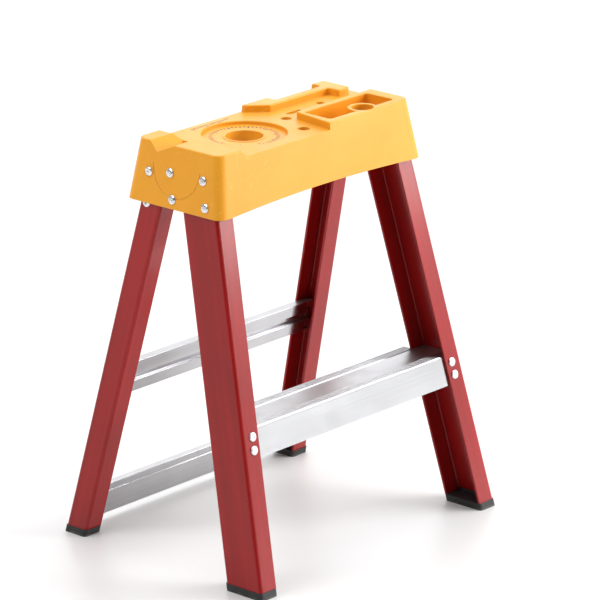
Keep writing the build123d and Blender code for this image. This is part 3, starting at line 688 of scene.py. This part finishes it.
def tick_tree():
    """Marks on points: each point holds the direction and the length of one mark."""
    graph, given, out = new_tree("Marks on points", "GeometryNodeTree", [
        ("Geometry", "NodeSocketGeometry", None), ("Width", "NodeSocketFloat", 0.001),
        ("Height", "NodeSocketFloat", 0.0001), ("Material", "NodeSocketMaterial", None),
    ], [("Geometry", "NodeSocketGeometry")])
    bar = graph.add("GeometryNodeMeshCube", {
        "Size": graph.add("ShaderNodeCombineXYZ", {
            0: 1.0, 1: given["Width"], 2: given["Height"]}).outputs[0],
        "Vertices X": 2, "Vertices Y": 2, "Vertices Z": 2}).outputs["Mesh"]
    along = graph.add("GeometryNodeInputNamedAttribute", {"Name": "axis"},
                      data_type="FLOAT_VECTOR").outputs[0]
    length = graph.add("GeometryNodeInputNamedAttribute", {"Name": "grip"},
                       data_type="FLOAT").outputs[0]
    rotation = graph.add("FunctionNodeAlignRotationToVector", {"Vector": along},
                         axis="X", pivot_axis="Z").outputs[0]
    laid = graph.add("GeometryNodeInstanceOnPoints", {
        "Points": given["Geometry"], "Instance": bar, "Rotation": rotation,
        "Scale": graph.add("ShaderNodeCombineXYZ", {
            0: length, 1: 1.0, 2: 1.0}).outputs[0]}).outputs[0]
    real = graph.add("GeometryNodeRealizeInstances", {0: laid}).outputs[0]
    finished = graph.add("GeometryNodeSetMaterial", {
        "Geometry": real, "Material": given["Material"]}).outputs[0]
    graph.feed(out["Geometry"], finished)
    return graph.tree


def grow(name, spots, tree, values):
    """Run a tree on spots of (place, axis, grip) and keep the result as a plain mesh."""
    mesh = bpy.data.meshes.new(name)
    mesh.from_pydata([place for place, axis, grip in spots], [], [])
    axes = mesh.attributes.new("axis", "FLOAT_VECTOR", "POINT")
    axes.data.foreach_set("vector", [x for place, axis, grip in spots for x in axis])
    grips = mesh.attributes.new("grip", "FLOAT", "POINT")
    grips.data.foreach_set("value", [grip for place, axis, grip in spots])
    piece = bpy.data.objects.new(name, mesh)
    bpy.context.scene.collection.objects.link(piece)
    modifier = piece.modifiers.new("Grow", "NODES")
    modifier.node_group = tree
    sockets = {s.name: s.identifier for s in tree.interface.items_tree if s.in_out == "INPUT"}
    for key, value in values.items():
        modifier[sockets[key]] = value
    bpy.context.view_layer.update()
    result = piece.evaluated_get(bpy.context.evaluated_depsgraph_get())
    grown = bpy.data.meshes.new_from_object(result)
    piece.modifiers.clear()
    piece.data = grown
    grown.name = name
    grown.materials.clear()
    grown.materials.append(values["Material"])
    grown.polygons.foreach_set("material_index", [0] * len(grown.polygons))
    for label in ("axis", "grip", "below"):
        if label in grown.attributes:
            grown.attributes.remove(grown.attributes[label])
    turn_outwards(grown)
    return piece


def turn_outwards(mesh):
    """Point every face outwards and shade by angle."""
    shape = bmesh.new()
    shape.from_mesh(mesh)
    bmesh.ops.recalc_face_normals(shape, faces=shape.faces)
    for face in shape.faces:
        face.smooth = True
    for edge in shape.edges:
        edge.smooth = edge.calc_face_angle(math.pi) < math.radians(42)
    shape.to_mesh(mesh)
    shape.free()


# ------------------------------------------------------------------ rivets
def loose_shapes(node):
    """Each separate solid of a frame node, as a mesh of its own."""
    whole = bmesh.new()
    whole.from_mesh(NODES[node].data)
    bmesh.ops.remove_doubles(whole, verts=whole.verts, dist=1e-6)
    left = set(whole.verts)
    shapes = []
    while left:
        found = {left.pop()}
        front = list(found)
        while front:
            vert = front.pop()
            for edge in vert.link_edges:
                other = edge.other_vert(vert)
                if other not in found:
                    found.add(other)
                    front.append(other)
        left -= found
        faces = {face for vert in found for face in vert.link_faces}
        shapes.append([(face.normal.copy(), face.calc_area(), face.calc_center_median(),
                        [v.co.copy() for v in face.verts]) for face in faces])
    whole.free()
    return shapes


def rivet_spot(shape):
    """Seat, axis and grip of one rivet, read from its solid."""
    flats = {}
    for normal, area, centre, corners in shape:
        key = tuple(round(x, 2) for x in normal)
        flats.setdefault(key, []).append((area, centre, normal))
    tail_side = max(flats.values(), key=lambda faces: sum(f[0] for f in faces))
    weight = sum(area for area, centre, normal in tail_side)
    middle = sum((centre * area for area, centre, normal in tail_side), Vector()) / weight
    axis = -sum((normal * area for area, centre, normal in tail_side), Vector()).normalized()
    levels = [corner.dot(axis) for face in shape for corner in face[3]]
    size = sizes()
    seat = max(levels) - size.head_height
    grip = seat - (min(levels) + size.tail_height)
    return middle + axis * (seat - middle.dot(axis)), axis, grip


def rivet_nodes(body):
    return [n for n in frame["record"]["behaviour"]["bodies"][body] if "rivet" in n]


def make_rivets(body, tree, material):
    """All rivets of one body as one piece."""
    names = rivet_nodes(body)
    found = [rivet_spot(shape) for node in sorted(names) for shape in loose_shapes(node)]
    spots = sorted(found, key=lambda s: tuple(round(x, 4) for x in s[0]))
    size = sizes()
    values = {name: getattr(size, name.lower().replace(" ", "_")) for name in RIVET_INPUTS}
    piece = grow(body + "_rivets", spots, tree,
                 {**values, "Around": size.around, "Seed": 5, "Material": material})
    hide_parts(*names)
    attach(piece, body)
    return piece


# ------------------------------------------------------------------ marks on the cap
def mount(name):
    return next(m for m in frame["record"]["mounts"] if m["name"] == name)


def dial_spots():
    """Marks round the recess, every fifth one longer."""
    size = sizes()
    port = Vector(mount("port")["pos_m"])
    recess = next(o for o in frame["record"]["physics"]["openings"]
                  if o["name"] == "round_recess")
    floor = recess["box_m"][0][2] - 0.0013
    spots = []
    for i in range(size.dial_ticks):
        turn = math.tau * i / size.dial_ticks
        out = Vector((math.cos(turn), math.sin(turn), 0.0))
        length = size.tick_length * (1.5 if i % 5 == 0 else 1.0)
        centre = Vector((port.x, port.y, 0.0)) + out * (size.dial_radius - length / 2)
        spots.append(((centre.x, centre.y, floor), tuple(out), length))
    return spots


def rule_spots():
    """Marks along the rear edge of the deck, every fifth one longer."""
    size = sizes()
    port = Vector(mount("port")["pos_m"])
    deck = mount("deck_rest")["pos_m"][2]
    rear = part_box("top_cap")[1].y - 19.0 * MM
    spots = []
    for i in range(size.rule_ticks):
        x = port.x + (i - (size.rule_ticks - 1) / 2) * size.rule_step
        length = size.tick_length * (1.5 if i % 5 == 0 else 1.0)
        spots.append(((x, rear - length / 2, deck), (0.0, 1.0, 0.0), length))
    return spots


# ------------------------------------------------------------------ operators
class LADDER_OT_cap(bpy.types.Operator):
    """Give the top cap its moulded finish"""

    bl_idname = "ladder.cap"
    bl_label = "Top cap"

    def execute(self, context):
        coat("top_cap", cap_finish())
        return {"FINISHED"}


class LADDER_OT_rails(bpy.types.Operator):
    """Give the four rails their fibreglass finish, with strands along each one"""

    bl_idname = "ladder.rails"
    bl_label = "Rails"

    def execute(self, context):
        for end in ("front", "rear"):
            for side in SIDES:
                node = f"{end}_rail_{side}"
                corners = np.array([v.co for v in NODES[node].data.vertices])
                low, high = corners[:, 2].min(), corners[:, 2].max()
                foot = corners[corners[:, 2] < low + 0.1 * MM].mean(0)
                head = corners[corners[:, 2] > high - 0.1 * MM].mean(0)
                run = (head - foot) / (head[2] - foot[2])
                coat(node, rail_finish(f"red_fibreglass_{end}_{side}",
                                       float(run[0]), float(run[1])))
        return {"FINISHED"}


class LADDER_OT_extrusions(bpy.types.Operator):
    """Give the tread and the rear bars their mill finish"""

    bl_idname = "ladder.extrusions"
    bl_label = "Tread and bars"

    def execute(self, context):
        metal = extrusion_finish()
        for node in ("tread", "upper_rear_bar", "lower_rear_bar"):
            coat(node, metal)
        return {"FINISHED"}


class LADDER_OT_fittings(bpy.types.Operator):
    """Finish the brackets, hinge plates, washers and shoes"""

    bl_idname = "ladder.fittings"
    bl_label = "Fittings and shoes"

    def execute(self, context):
        zinc, nylon, rubber = zinc_finish(), nylon_finish(), rubber_finish()
        for side in SIDES:
            coat(f"cap_bracket_{side}", zinc)
            coat(f"hinge_plate_{side}", zinc)
            coat(f"hinge_washer_{side}", nylon)
            coat(f"front_shoe_{side}", rubber)
            coat(f"rear_shoe_{side}", rubber)
        return {"FINISHED"}


class LADDER_OT_rivets(bpy.types.Operator):
    """Form the rivets of both bodies where the frame has them"""

    bl_idname = "ladder.rivets"
    bl_label = "Rivets"

    def execute(self, context):
        tree, metal = rivet_tree(), rivet_finish()
        for body in (STAND, REAR_FRAME):
            make_rivets(body, tree, metal)
        return {"FINISHED"}


class LADDER_OT_marks(bpy.types.Operator):
    """Print plain tick marks in the recess and along the deck"""

    bl_idname = "ladder.marks"
    bl_label = "Printed marks"

    def execute(self, context):
        tree, ink = tick_tree(), ink_finish()
        size = sizes()
        values = {"Width": size.tick_width, "Height": size.tick_height, "Material": ink}
        for name, spots in (("recess_dial_marks", dial_spots()),
                            ("deck_rule_marks", rule_spots())):
            piece = grow(name, spots, tree, values)
            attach(piece, STAND)
        return {"FINISHED"}


def soft_light(name, place, target, width, power):
    """A large square light that faces a point."""
    lamp = bpy.data.lights.new(name, "AREA")
    lamp.shape = "SQUARE"
    lamp.size = width
    lamp.energy = power
    light = bpy.data.objects.new(name, lamp)
    light.location = place
    light.visible_camera = False
    light.rotation_euler = (Vector(target) - Vector(place)).to_track_quat("-Z", "Y").to_euler()
    bpy.context.scene.collection.objects.link(light)


BRIGHT_SIDE = (0.90, 0.12, 0.40)   # where most of the light from all round comes from
FLOOR_REACH = 14.0                 # half the floor's width, in metres
FADE_NEAR = 0.9                    # squared distance at which the floor starts to glow
FADE_FAR = 9.0                     # squared distance at which it is plain white
STAGE_MIDDLE = (0.0, 0.0, 0.35)


def studio_world(values):
    """White to the camera; as light, brighter from the right than from the left."""
    world = bpy.data.worlds.new("studio")
    world.use_nodes = True
    graph = Graph(world.node_tree)
    way = graph.add("ShaderNodeTexCoord").outputs["Generated"]
    towards = graph.vector("DOT_PRODUCT", way, BRIGHT_SIDE)
    strength = graph.remap(towards, -0.6, 0.6, values.ambient, values.backdrop)
    seen = graph.add("ShaderNodeLightPath").outputs["Is Camera Ray"]
    background = world.node_tree.nodes["Background"]
    background.inputs["Color"].default_value = (1.0, 1.0, 1.0, 1.0)
    graph.feed(background.inputs["Strength"], graph.math("MAXIMUM", seen, strength))
    return world


def place_camera(values):
    """A long lens from the front left, above the cap."""
    yaw, pitch, roll = (math.radians(a) for a in (-47.27, -18.19, -0.61))
    ahead = Vector((-math.sin(yaw) * math.cos(pitch), math.cos(yaw) * math.cos(pitch),
                    math.sin(pitch)))
    right = Vector((math.cos(yaw), math.sin(yaw), 0.0))
    up = right.cross(ahead)
    across = right * math.cos(roll) + up * math.sin(roll)
    over = up * math.cos(roll) - right * math.sin(roll)
    camera = bpy.data.objects.new("camera", bpy.data.cameras.new("camera"))
    camera.data.lens = values.lens
    camera.data.sensor_width = 36.0
    camera.data.clip_end = 50.0
    turn = Matrix((across, over, -ahead)).transposed().to_4x4()
    camera.matrix_world = Matrix.Translation((-4.3367, -4.0526, 2.2751)) @ turn
    bpy.context.scene.collection.objects.link(camera)
    bpy.context.scene.camera = camera


class LADDER_OT_stage(bpy.types.Operator):
    """Lay the floor, and set the lights and the camera"""

    bl_idname = "ladder.stage"
    bl_label = "Stage"

    def execute(self, context):
        values = stage_values()
        mesh = bpy.data.meshes.new("floor")
        mesh.from_pydata([(x * FLOOR_REACH, y * FLOOR_REACH, 0) for x, y in
                          ((-1, -1), (1, -1), (1, 1), (-1, 1))], [], [(0, 1, 2, 3)])
        floor = bpy.data.objects.new("floor", mesh)
        context.scene.collection.objects.link(floor)
        finish = Finish("pale_floor", Roughness=0.42)
        away = finish.remap(finish.vector("DOT_PRODUCT", finish.place, finish.place),
                            FADE_NEAR, FADE_FAR)
        finish.set("Base Color", finish.mix(away, values.floor, (0.0, 0.0, 0.0)))
        finish.set("Emission Color", (1.0, 1.0, 1.0, 1.0))
        finish.set("Emission Strength", away)
        mesh.materials.append(finish.material)
        context.scene.world = studio_world(values)
        context.scene.view_settings.view_transform = "Standard"
        soft_light("front_light", (2.1, -2.15, 1.42), STAGE_MIDDLE, 2.0, values.front_power)
        soft_light("side_light", (-2.4, 0.9, 2.3), STAGE_MIDDLE, 1.6, values.side_power)
        soft_light("back_light", (2.6, 2.4, 1.9), STAGE_MIDDLE, 2.4, values.back_power)
        soft_light("top_light", (0.2, 0.2, 3.4), STAGE_MIDDLE, 2.6, values.top_power)
        place_camera(values)
        return {"FINISHED"}


OPERATORS = (LADDER_OT_cap, LADDER_OT_rails, LADDER_OT_extrusions, LADDER_OT_fittings,
             LADDER_OT_rivets, LADDER_OT_marks, LADDER_OT_stage)


class LADDER_PT_panel(bpy.types.Panel):
    """Lists what this add-on makes, with its sizes and colours"""

    bl_label = "Step ladder"
    bl_idname = "LADDER_PT_panel"
    bl_space_type = "VIEW_3D"
    bl_region_type = "UI"
    bl_category = "Ladder"

    def draw(self, context):
        for operator in OPERATORS:
            self.layout.operator(operator.bl_idname)
        for values in (context.scene.ladder_sizes, context.scene.ladder_colours,
                       context.scene.ladder_stage):
            box = self.layout.box()
            for key in values.__annotations__:
                box.prop(values, key)


GROUPS = {
    "ladder_sizes": LadderSizes, "ladder_colours": LadderColours,
    "ladder_stage": LadderStage,
}


def register():
    for kind in (*GROUPS.values(), *OPERATORS, LADDER_PT_panel):
        bpy.utils.register_class(kind)
    for name, kind in GROUPS.items():
        setattr(bpy.types.Scene, name, bpy.props.PointerProperty(type=kind))


def unregister():
    for name in GROUPS:
        delattr(bpy.types.Scene, name)
    for kind in reversed((*GROUPS.values(), *OPERATORS, LADDER_PT_panel)):
        bpy.utils.unregister_class(kind)


def main():
    register()
    for operator in OPERATORS:
        group, name = operator.bl_idname.split(".")
        getattr(getattr(bpy.ops, group), name)()


if __name__ == "__main__":
    main()
